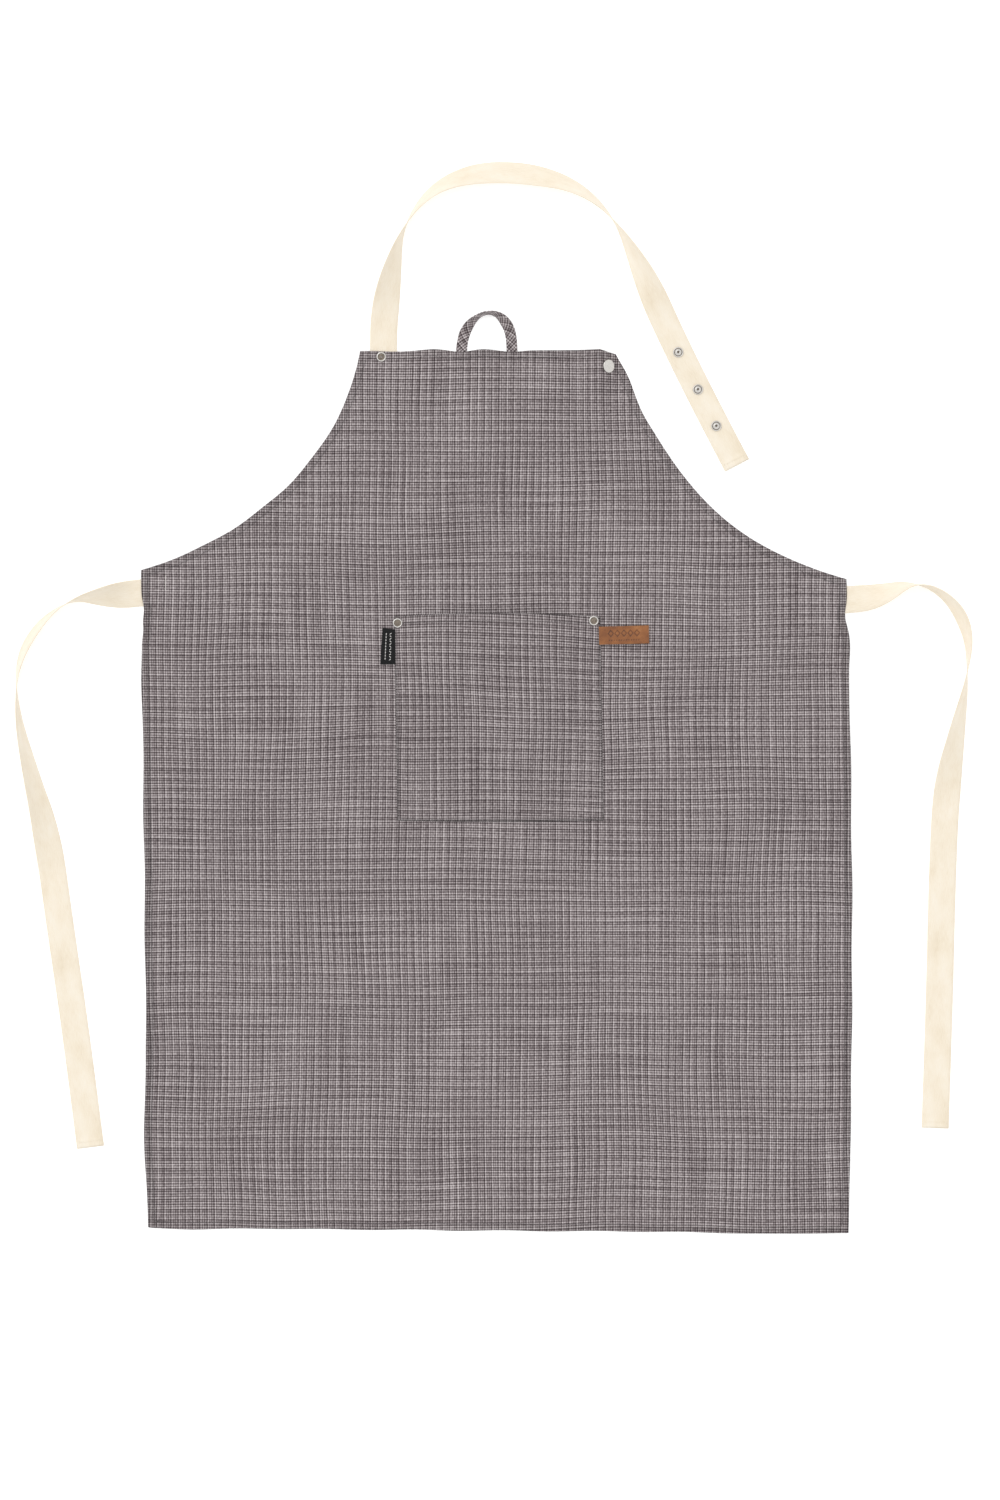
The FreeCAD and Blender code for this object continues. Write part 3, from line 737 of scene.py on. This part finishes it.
def body_panel():
    """The apron's front with its hem turned under along every edge."""
    fold_radius, fold_inset = 0.75 * MM, 0.9 * MM
    # How far from the edge the rings of points are, in millimetres: under the hem, round its fold, and in front.
    under = (8.0, 7.0, 4.5, 2.0, 0.9)
    round_fold = (0.3, 0.1, 0, 0.1, 0.3)
    front = (0.9, 2.0, 3.4, 4.8, 5.8, 6.4, 6.9, 7.4, 8.0, 8.7, 9.6, 11.0)
    rings = [inset_ring(SIDES, inset * MM) for inset in under]
    heights = [
        np.minimum(hem_floor(ring), hem_face(ring, inset * MM) - 0.35 * MM) for ring, inset in zip(rings, under)
    ]
    for angle in map(math.radians, (-60, -30, 0, 30, 60)):
        ring = inset_ring(SIDES, fold_inset - fold_radius * math.cos(angle))
        low, high = hem_floor(ring), hem_face(ring, fold_inset)
        rings.append(ring)
        heights.append(low + (high - low) * ((1 + math.sin(angle)) / 2))
    for inset in front:
        rings.append(inset_ring(SIDES, inset * MM))
        heights.append(hem_face(rings[-1], inset * MM))
    around = len(EDGE)
    faces = [face[::-1] for face in strip_faces(len(rings), around, closed=True)]
    border = rings[-1]
    coarse = lattice(border.min(0), border.max(0), 5.0 * MM)
    in_corner = np.all((coarse > CORNER_LOW) & (coarse < CORNER_HIGH), axis=1)
    spread = np.concatenate((coarse[~in_corner], lattice(CORNER_LOW, CORNER_HIGH, 2.0 * MM)))
    clear = inset_ring(SIDES, (front[-1] + 2.0) * MM)
    spread = spread[inside(spread, clear)]
    given = np.concatenate((border, spread))
    edges = [(k, (k + 1) % around) for k in range(around)]
    found, _, triangles, origins, _, _ = delaunay_2d_cdt([Vector(p) for p in given], edges, [], 1, 1e-7)
    first = (len(rings) - 1) * around
    numbers = [first + origin[0] for origin in origins]
    faces += [tuple(numbers[k] for k in triangle) for triangle in triangles]
    rim = np.concatenate(rings)
    points = np.column_stack((np.concatenate((rim, spread)), np.concatenate((*heights, cloth_face(spread)))))
    insets = np.repeat((*under, *round_fold, *front), around)
    # Painted shade along the hems, where shade falls; the open cloth gets none.
    painted_shade = np.concatenate((painted_hem_shade(rim, insets * MM), np.zeros(len(spread))))
    return piece(
        "apron_body", points, faces, [CLOTH_FINISH], points[:, :2], painted_shade=painted_shade, thick=CLOTH_THICK
    )


def painted_hem_shade(points, inset):
    """How much painted shade darkens the hem: most in its row of stitches and at its folded rim, a little over its
    folded layers, and more along the side hems and over the loop's sewn ends.
    """
    band = 1 - eased(inset, HEM_WIDTH - 0.6 * MM, HEM_WIDTH + 0.6 * MM)
    row = bell(inset, HEM_ROW, 0.5 * MM)
    rim = 1 - eased(inset, 0.2 * MM, 1.6 * MM)
    x, y = points[:, 0], points[:, 1]
    side_hems = eased(np.abs(x), 0.315, 0.325)
    at_loop = (y > 0.39) * eased(x, -0.045, -0.035) * eased(-x, -0.066, -0.056)
    return 0.22 * band + 0.20 * side_hems * band + 0.18 * at_loop * band + 0.20 * row + 0.25 * rim


# ---- pocket

POCKET_LEFT = -0.0984
POCKET_RIGHT = 0.1034
POCKET_BOTTOM = -0.0467
POCKET_TOP = 0.1532
POCKET_SKEW = 3.2 * MM
POCKET_HEM = 8.0 * MM
POCKET_BORDER = 1.15 * MM  # its turned hem holds its face this far above the apron's
POCKET_SWELL = 2.4 * MM
MOUTH_SWELL = 2.2 * MM
RIVET_MARGIN = 12.5 * MM
SWELL_MARGIN = 55 * MM
MOUTH_ROW = 7.0 * MM  # from the mouth to its row of stitches
POCKET_GRAIN = ((0.9999, 0.0120), (-0.0120, 0.9999))  # its check runs a little askew of the body's
POCKET_CUT_AT = (0.3131, 0.1717)  # so that its check doesn't continue the body's


def pocket_face(points):
    """The height of the pocket's front. It is sewn down along its border and swells a little towards its mouth."""
    x, y = points[:, 0], points[:, 1]
    across = eased(x, POCKET_LEFT + RIVET_MARGIN, POCKET_LEFT + SWELL_MARGIN)
    across *= eased(-x, -POCKET_RIGHT + RIVET_MARGIN, -POCKET_RIGHT + SWELL_MARGIN)
    swell = POCKET_SWELL * eased(y, POCKET_BOTTOM + POCKET_HEM, POCKET_BOTTOM + 0.070)
    swell += MOUTH_SWELL * eased(y, 0.060, POCKET_TOP)
    ripple = 0.25 * MM * np.sin(x * 61 + y * 37) * across
    inner = np.minimum.reduce((x - POCKET_LEFT, POCKET_RIGHT - x, y - POCKET_BOTTOM, POCKET_TOP - y))
    step = 0.4 * MM * eased(inner, POCKET_HEM - 0.3 * MM, POCKET_HEM + 1.5 * MM)
    groove = 0.15 * MM * bell(POCKET_TOP - y, MOUTH_ROW, 0.9 * MM)
    return cloth_face(points) + POCKET_BORDER + swell * across + ripple - step - groove


def pocket_lines(low, high):
    """The lines of the pocket's grid in one direction: its hem under each end, its folds, and its face."""
    size = high - low
    under = np.array((6.5, 1.0, 0)) * MM
    edge = np.array((0.8, 1.6, 2.6, 4.0, 5.6, 6.6, 7.4, 8.2, 9.4)) * MM
    face = np.linspace(12 * MM, size - 12 * MM, round((size - 24 * MM) / (3.5 * MM)) + 1)
    places = np.concatenate((under, edge, face, size - edge[::-1], size - under[::-1]))
    level = np.concatenate(((0, 0, 0.5), np.ones(len(edge) * 2 + len(face)), (0.5, 0, 0)))
    return low + places, level


def pocket_point(x, y):
    """The pocket is sewn on a little askew, its top edge bows up a little and its bottom edge sags."""
    across = (2 * x - POCKET_LEFT - POCKET_RIGHT) / (POCKET_RIGHT - POCKET_LEFT)
    share = (y - POCKET_BOTTOM) / (POCKET_TOP - POCKET_BOTTOM)
    bow = (1 - np.clip(across, -1, 1) ** 2) * (2.9 * MM * share - 1.4 * MM * (1 - share))
    return np.column_stack((x + POCKET_SKEW * (0.45 - share), y + bow))


def pocket_panel():
    columns, column_level = pocket_lines(POCKET_LEFT, POCKET_RIGHT)
    rows, row_level = pocket_lines(POCKET_BOTTOM, POCKET_TOP)
    x, y = grid(columns, rows)
    level_x, level_y = grid(column_level, row_level)
    straight = np.column_stack((x, y))
    front = pocket_face(straight)
    at_mouth = (level_y < 1) & (y > 0.1)
    low = np.where(at_mouth, front - 0.75 * MM, cloth_face(straight) + 0.12 * MM)
    height = low + (front - low) * np.minimum(level_x, level_y)
    points = np.column_stack((pocket_point(x, y), height))
    flat = straight @ np.array(POCKET_GRAIN) + POCKET_CUT_AT
    faces = strip_faces(len(rows), len(columns))
    # Painted shade: darkest along the pocket's sewn edges and at its mouth, where shade falls, with lines at its row
    # of stitches and along its bottom.
    inner = np.minimum.reduce((x - POCKET_LEFT, POCKET_RIGHT - x, y - POCKET_BOTTOM))
    from_mouth = POCKET_TOP - y
    painted_shade = 0.80 * (1 - eased(inner, 0.4 * MM, 2.2 * MM)) + 0.65 * (1 - eased(from_mouth, 0.2 * MM, 1.5 * MM))
    painted_shade += 0.35 * bell(from_mouth, 7.4 * MM, 0.7 * MM)
    painted_shade += 0.20 * (1 - eased(y, POCKET_BOTTOM + 2 * MM, POCKET_BOTTOM + 5 * MM))
    painted_shade += 0.25 * bell(inner, 2.1 * MM, 0.6 * MM)
    painted_shade = np.clip(painted_shade, 0, 1)
    return piece("pocket", points, faces, [SHADED_POCKET_FINISH], flat, painted_shade=painted_shade, thick=CLOTH_THICK)


# ---- stitches


def stitch_shape():
    """One stitch along X from -1 to 1, as rings of points and its faces: it bows up and dives in at both ends."""
    sides = 6
    points = []
    for along, lift, size in ((-1, -1.0, 0.4), (-0.7, 0.0, 0.85), (0, 0.5, 1.0), (0.7, 0.0, 0.85), (1, -1.0, 0.4)):
        for corner in range(sides):
            angle = 2 * math.pi * corner / sides
            points.append((along, size * math.cos(angle), lift + size * math.sin(angle)))
    faces = strip_faces(5, sides, closed=True)
    faces += [tuple(reversed(range(sides))), tuple(range(4 * sides, 5 * sides))]
    return np.array(points), faces


def stitches(name, lines, pitch, length, thread, material, uneven=0.12):
    """Rows of stitches along lines of 3-D points. Every stitch is a little different."""
    shape, shape_faces = stitch_shape()
    chance = np.random.default_rng(len(name) + len(lines))
    points, faces = [], []
    for line in lines:
        line = np.asarray(line, float)
        distance = distances(line)
        count = max(1, round(distance[-1] / pitch))
        for number in range(count):
            middle = (number + 0.5) * distance[-1] / count
            half = length / 2 * (1 + uneven * chance.uniform(-1, 1))
            ends = [
                np.array([np.interp(middle + end * half, distance, line[:, axis]) for axis in range(3)])
                for end in (-1, 1)
            ]
            way = unit(ends[1] - ends[0])
            side = unit(np.cross((0, 0, 1.0), way))
            over = np.cross(way, side)
            centre = (ends[0] + ends[1]) / 2 + side * chance.uniform(-1, 1) * uneven * thread
            start = len(points)
            for along, across, lift in shape:
                points.append(centre + way * along * half + side * across * thread + over * lift * thread)
            faces += [tuple(start + k for k in face) for face in shape_faces]
    return piece(name, points, faces, [material])


def on_cloth(flat_line, face, *extra):
    """A line laid on a surface, just clear of it."""
    flat_line = np.asarray(flat_line, float)
    return np.column_stack((flat_line, face(flat_line, *extra) + THREAD_CLEAR))


def zigzag(start, end, width, turns):
    """A line that crosses from side to side on its way from start to end."""
    start, end = np.array(start, float), np.array(end, float)
    way = unit(end - start)
    side = np.array((-way[1], way[0])) * width / 2
    return [start + (end - start) * k / turns + side * (1 if k % 2 else -1) for k in range(turns + 1)]


def even_line(*corners, step=2.0 * MM):
    """Points along straight runs between corners."""
    found = [np.array(corners[0], float)]
    for start, end in zip(corners, corners[1:]):
        start, end = np.array(start, float), np.array(end, float)
        count = max(1, round(np.linalg.norm(end - start) / step))
        found += [start + (end - start) * k / count for k in range(1, count + 1)]
    return np.array(found)


def hem_stitches():
    ring = inset_ring(SIDES, HEM_ROW)
    ring = np.concatenate((ring, ring[:1]))
    line = np.column_stack((ring, hem_face(ring, HEM_ROW) + 0.15 * MM))
    return stitches("hem_stitches", [line], 3.0 * MM, 2.3 * MM, 0.24 * MM, SHADED_HEM_THREAD)


def pocket_stitches():
    low = 1.8 * MM
    left, right = POCKET_LEFT + low, POCKET_RIGHT - low
    top, bottom, row = POCKET_TOP - low, POCKET_BOTTOM + low, POCKET_TOP - MOUTH_ROW
    lines = []
    for corners in (((left, top), (left, bottom), (right, bottom), (right, top)), ((left, row), (right, row))):
        line = even_line(*corners)
        height = pocket_face(line) + THREAD_CLEAR
        lines.append(np.column_stack((pocket_point(line[:, 0], line[:, 1]), height)))
    return stitches("pocket_stitches", lines, 2.8 * MM, 2.2 * MM, 0.22 * MM, SHADED_HEM_THREAD)


def tack_stitches():
    """A white tack that holds the left tie, and a small one under the right armhole."""
    tie = zigzag((-0.3246, 0.1791), (-0.3242, 0.1938), 0.6 * MM, 12)
    tick = [(0.1757, 0.1706), (0.1763, 0.1722)]
    lines = [on_cloth(line, cloth_face) for line in (tie, tick)]
    return stitches("tack_stitches", lines, 1.5 * MM, 1.6 * MM, 0.22 * MM, WHITE_THREAD, 0.3)


def corner_tack():
    """The dark tack across the hem at the skirt's left corner."""
    lines = []
    for shift in (0, 1.1 * MM):
        line = zigzag((-0.3350 + shift, -0.4420), (-0.3300 + shift, -0.4372), 1.6 * MM, 6)
        lines.append(on_cloth(line, hem_face, HEM_ROW))
    return stitches("corner_tack", lines, 1.3 * MM, 1.5 * MM, 0.24 * MM, DARK_THREAD, 0.3)


def end_stitches(name, centre, across, through):
    """The row that holds the turned end of a tape."""
    back = 4  # points from the tape's end, 2 mm apart
    place, way, up = centre[-back], across[-back], through[-back]
    half = TAPE_WIDTH / 2 - 1.5 * MM
    line = [place + way * half * share + up * 0.95 * MM for share in np.linspace(-1, 1, 12)]
    return stitches(name, [line], 2.6 * MM, 2.0 * MM, 0.2 * MM, CREAM_THREAD)


# ---- labels


LABEL_REST = OPEN_FACE + 0.35 * MM
LABEL_THICK = 0.68 * MM


def label_point(place, share, up):
    """A point of the woven label: place is 0 at the seam and 1 at the fold, and share is 0 to 1 along the seam."""
    low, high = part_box("woven_label")
    seam, fold_at = POCKET_LEFT - 0.8 * MM, low.x + 1.3 * MM
    bottom = low.y + 1.2 * MM
    x = seam + (fold_at - seam - 2.3 * MM * (0.5 - share)) * place
    y = bottom + (high.y - bottom) * share + 1.6 * MM * place * (share - 0.1)
    rise = 0.35 * MM * math.sin(3.0 * share) * max(place - 0.35, 0)
    return x, y, LABEL_REST + up + rise


def woven_label():
    """A folded satin label. Its two layers meet at a soft fold, and its other end is caught in the pocket's seam."""
    places = np.concatenate((np.linspace(0, 1, 12), (1.02, 1.03, 1.02), np.linspace(1, 0, 12)))
    lift = np.concatenate((np.ones(12), (0.78, 0.5, 0.22), np.zeros(12))) * LABEL_THICK
    length = np.linspace(0, 1, 40)
    points, flat = [], []
    for share in length:
        for place, up in zip(places, lift):
            points.append(label_point(place, share, up))
            flat.append((points[-1][1], points[-1][0] + up))
    faces = strip_faces(len(length), len(places))
    made = piece("woven_label_satin", points, faces, [SATIN], flat, thick=0.22 * MM)
    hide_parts("woven_label")
    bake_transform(made)


def label_motif():
    """A plain woven border: a zigzag and a row of dashes."""
    above = LABEL_THICK + 0.10 * MM
    corners = [label_point(0.48 - 0.22 * (k % 2), 0.10 + 0.80 * k / 11, above) for k in range(12)]
    lines = list(zip(corners, corners[1:]))
    for k in range(9):
        share = 0.16 + 0.68 * k / 8
        lines.append((label_point(0.72, share - 0.02, above), label_point(0.72, share + 0.02, above)))
    made = stitches("woven_label_motif", lines, 9 * MM, 2.7 * MM, 0.44 * MM, LABEL_THREAD, 0.04)
    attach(made, "woven_label")


def motif_depth(x, y, length, width):
    """How deep a generic stamped pattern is, from 0 to 1: a row of diamonds above a row of dots."""
    pitch, dot_pitch = 6.4 * MM, 2.4 * MM
    a, b = 2.5 * MM, 3.0 * MM  # half a diamond's length and height
    x = x - length / 2
    number, dot_number = np.round(x / pitch), np.round(x / dot_pitch)
    outline = np.abs(np.abs(x - number * pitch) / a + np.abs(y - 0.60 * width) / b - 1) * a * b / math.hypot(a, b)
    outline = np.where(np.abs(number) <= 2.5, outline, 1.0)
    dots = np.hypot(x - dot_number * dot_pitch, y - 0.22 * width)
    dots = np.where(np.abs(dot_number) <= 6.5, dots, 1.0)
    return np.maximum(1 - eased(outline, 0.25 * MM, 0.65 * MM), 1 - eased(dots, 0.35 * MM, 0.75 * MM))


def rounded_lines(size):
    """The lines of the leather's grid in one direction, and how high each stands: its two cut edges are rounded."""
    edge = 0.25 * MM
    face = np.arange(0.8 * MM, size - 0.6 * MM, 0.45 * MM)
    places = np.concatenate(((0, 0, edge), face, (size - edge, size, size)))
    return places, np.concatenate(((0, 0.78, 1), np.ones(len(face)), (1, 0.78, 0)))


def leather_label():
    """A slab of leather with rounded cut edges and a stamped pattern, turned a little from square."""
    low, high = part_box("leather_label")
    start = POCKET_RIGHT - 3.0 * MM
    length, width, thick = high.x - start, high.y - low.y, high.z - low.z
    (rows, row_level), (columns, column_level) = (rounded_lines(size) for size in (width, length))
    x, y = grid(columns, rows)
    level = np.minimum(*grid(column_level, row_level))
    pressed = motif_depth(x, y, length, width) * (level >= 1)
    droop = 0.25 * MM * (x / length) ** 2
    z = low.z + 0.05 * MM + thick * level - 0.28 * MM * pressed - droop
    angle = math.radians(1.6)
    across = y - width / 2
    placed_x = start + x * math.cos(angle) - across * math.sin(angle)
    placed_y = (low.y + high.y) / 2 + x * math.sin(angle) + across * math.cos(angle) - 0.4 * MM
    points = np.column_stack((placed_x, placed_y, z))
    faces = strip_faces(len(rows), len(columns))
    wide, last_row = len(columns), (len(rows) - 1) * len(columns)
    for column in range(1, wide - 2):
        faces.append((column + 1, column, last_row + column, last_row + column + 1))
    faces.append((1, *range(0, last_row + 1, wide), last_row + 1))
    faces.append((last_row + wide - 2, *range(last_row + wide - 1, 0, -wide), wide - 2))
    made = piece("leather_label_tab", points, faces, [LEATHER], np.column_stack((x, y)))
    layer = made.data.attributes.new("pressed", "FLOAT", "POINT")
    layer.data.foreach_set("value", np.where(level < 1, -0.9, pressed).astype(np.float32))
    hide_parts("leather_label")
    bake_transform(made)


# ---- rivets, snap and studs


def turned(name, profile, place, tilt=0.0, shaded_bands=()):
    """A metal part turned about its axis from a profile of radius and height in millimetres. The listed hollow bands
    get the darker metal, as painted shade in the hollows.
    """
    around = 40
    turns = Matrix.Rotation(tilt, 3, "Y")
    points = []
    for radius, height in profile[:-1]:
        for corner in range(around):
            angle = 2 * math.pi * corner / around
            offset = Vector((radius * math.cos(angle), radius * math.sin(angle), height)) * MM
            points.append(Vector(place) + turns @ offset)
    points.append(Vector(place) + turns @ Vector((0, 0, profile[-1][1] * MM)))
    faces = strip_faces(len(profile) - 1, around, closed=True)
    kinds = [int(row in shaded_bands) for row in range(len(profile) - 2) for _ in range(around)]
    last = (len(profile) - 2) * around
    faces += [(last + corner, last + (corner + 1) % around, len(points) - 1) for corner in range(around)]
    kinds += [int(len(profile) - 2 in shaded_bands)] * around
    faces.append(tuple(reversed(range(around))))
    kinds.append(0)
    return piece(name, points, faces, [NICKEL, HOLLOW_SHADE_NICKEL], face_materials=kinds)


RING_PROFILE = (
    (4.60, 0.05), (4.75, 0.40), (4.75, 0.75), (4.62, 1.10), (4.35, 1.38), (4.00, 1.50), (3.68, 1.42), (3.42, 1.15),
    (3.30, 0.75), (3.20, 0.45), (2.90, 0.36), (1.75, 0.33), (1.55, 0.52), (1.30, 0.58), (1.05, 0.50), (0.90, 0.20),
    (0, 0.12),
)
CAP_PROFILE = (
    (6.20, -0.02), (6.55, 0.15), (6.62, 0.45), (6.50, 0.80), (6.20, 1.08), (5.70, 1.25), (5.35, 1.27), (5.00, 1.33),
    (4.00, 1.45), (2.60, 1.54), (1.30, 1.58), (0, 1.60),
)
STUD_PROFILE = (
    (4.95, 0.03), (5.15, 0.35), (5.12, 0.70), (4.90, 1.00), (4.60, 1.10), (4.28, 1.02), (4.05, 0.75), (3.85, 0.50),
    (3.20, 0.42), (2.20, 0.45), (1.86, 0.62), (1.80, 1.20), (1.92, 1.70), (2.10, 2.10), (2.08, 2.40), (1.88, 2.64),
    (1.58, 2.70), (1.30, 2.60), (1.12, 2.30), (1.02, 1.60), (0, 1.50),
)
# The bands of each profile that lie in a hollow, which get the darker metal as painted shade and dark reflection.
SHADED_RING_BANDS = range(8, 16)
SHADED_STUD_BANDS = (7, 18, 19)


def fastener(name, node, profile, carrier, shaded_bands=(), place=None, tilt=0.0):
    """A turned part in place of a CAD node, with its top as high as that node's unless a place is given."""
    if place is None:
        place = (*middle_of(node)[:2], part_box(node)[1].z - max(height for _, height in profile) * MM)
    made = turned(name, profile, place, tilt, shaded_bands)
    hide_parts(node)
    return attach(made, carrier)


def fasteners():
    """The ring rivets and the bib's snap cap, on the apron, and the studs on the neck strap."""
    for name in ("pocket_rivet_left", "pocket_rivet_right", "strap_rivet"):
        fastener(name, name + "_ring", RING_PROFILE, "apron", SHADED_RING_BANDS)
    on_curl = (*SNAP_AT, HEM_FACE + CURL_RISE - CURL_SLOPE * (SNAP_AT[0] - CURL_RIDGE))
    fastener("bib_snap", "bib_snap_cap", CAP_PROFILE, "apron", place=on_curl, tilt=math.atan(CURL_SLOPE))
    made = [
        fastener(f"stud_{number}", f"strap_stud_{number}", STUD_PROFILE, "neck_strap", SHADED_STUD_BANDS)
        for number in (1, 2, 3)
    ]
    for node in (
        "pocket_rivet_left_backing", "pocket_rivet_right_backing", "strap_rivet_backing", "bib_snap_socket",
        "strap_stud_1_eyelet", "strap_stud_2_eyelet", "strap_stud_3_eyelet",
    ):
        finish_node(node, NICKEL)
    finish_node("bib_snap_spring", SPRING_STEEL)
    return made


def finish_node(node, material):
    """Gives a CAD node that stays in view its material."""
    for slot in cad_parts[node].material_slots:
        slot.material = material


# ---- build

body = body_panel()
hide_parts("body_panel")
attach(body, "apron")
pocket = pocket_panel()
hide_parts("pocket_panel")
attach(pocket, "apron")
for rows in (hem_stitches(), pocket_stitches(), tack_stitches(), corner_tack()):
    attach(rows, "apron")

studs = fasteners()
for name, route, leans, lean_reach, length in TAPES:
    tape, line, across, through = ribbon(
        name + "_tape", route, leans, TAPE_WIDTH, lean_reach, TAPE_FINISH, end_hem=True
    )
    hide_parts(name, name + "_sewn_end")
    fold_over(tape)
    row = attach(end_stitches(name + "_end_stitches", line, across, through), name)
loop = ribbon(
    "hanging_loop_strip", LOOP_ROUTE, LOOP_LEAN, LOOP_WIDTH, 12 * MM, CLOTH_FINISH,
    end_hem=False, bias=True, step=1.0 * MM,
)[0]
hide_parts("hanging_loop", "hanging_loop_sewn_ends")
fold_over(loop)
woven_label()
label_motif()
leather_label()


# ---- camera, lights and floor


FLOOR_SIZE = 8
FLOOR_DROP = 0.1 * MM
SURROUND_STRENGTH = 1.05
SUN_FROM = (-1.0, 1.0, 1.35)
SUN_SPREAD = 45
SUN_STRENGTH = 0.7


def stage():
    """A pale floor, an even white surround, and one wide soft light from the upper left."""
    bpy.ops.mesh.primitive_plane_add(size=FLOOR_SIZE, location=(0, 0, -FLOOR_DROP))
    floor = bpy.context.object
    floor.name = "floor"
    floor.data.materials.append(pale_floor())
    world = bpy.data.worlds.new("studio")
    bpy.context.scene.world = world
    world.use_nodes = True
    background = world.node_tree.nodes["Background"]
    background.inputs["Color"].default_value = (1, 1, 1, 1)
    background.inputs["Strength"].default_value = SURROUND_STRENGTH
    light = bpy.data.lights.new("key", "SUN")
    light.angle = math.radians(SUN_SPREAD)
    light.energy = SUN_STRENGTH
    lamp = bpy.data.objects.new("key", light)
    lamp.location = Vector(SUN_FROM)
    lamp.rotation_euler = (-lamp.location).to_track_quat("-Z", "Y").to_euler()
    bpy.context.scene.collection.objects.link(lamp)


def camera():
    """Straight above, so that 1.47 m fills the height of the picture."""
    centre = (0.0034, 0.0223)
    seen_height = 1.47
    lens = bpy.data.cameras.new("camera")
    lens.lens = 100
    lens.sensor_width = 36
    distance = seen_height * lens.lens / lens.sensor_width
    made = bpy.data.objects.new("camera", lens)
    made.location = (*centre, distance)
    bpy.context.scene.collection.objects.link(made)
    bpy.context.scene.camera = made


stage()
camera()
bpy.context.scene.view_settings.view_transform = "Standard"
